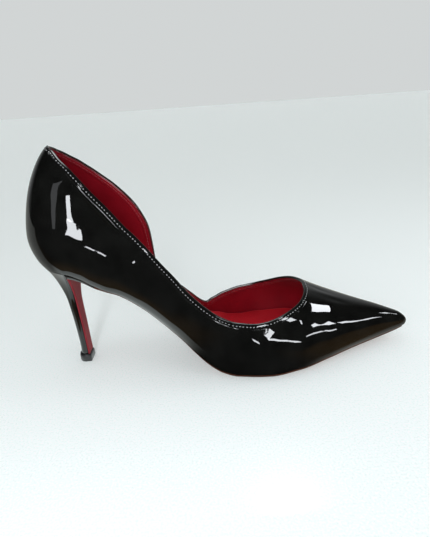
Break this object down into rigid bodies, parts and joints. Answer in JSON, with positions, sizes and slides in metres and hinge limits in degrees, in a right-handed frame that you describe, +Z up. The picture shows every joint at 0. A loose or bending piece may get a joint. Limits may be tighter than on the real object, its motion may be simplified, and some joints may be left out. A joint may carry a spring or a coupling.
{
  "type": "court shoe",
  "caption": "Pointed court shoe for the right foot, with a slender high heel, an inner side cut away at the arch, a glossy black upper and a red lining.",
  "frame": {"origin": "middle of the flat tread under the ball, on the floor the shoe stands on", "axes": "+X to the toe, +Y to the inner side of the right foot, +Z up"},
  "size_m": [0.2498, 0.0822, 0.1486],
  "materials": {
    "patent": "black patent, mirror gloss",
    "insole": "smooth red lining leather, satin",
    "sole": "brown sole leather, satin",
    "heel": "black patent cover, mirror gloss",
    "breast": "smooth red cover, satin",
    "top_piece": "hard black rubber, matt"
  },
  "bodies": {
    "root": {"upper": "patent", "insole": "insole", "outsole": "sole", "heel": "heel", "breast_cover": "breast", "top_piece": "top_piece"}
  },
  "joints": []
}
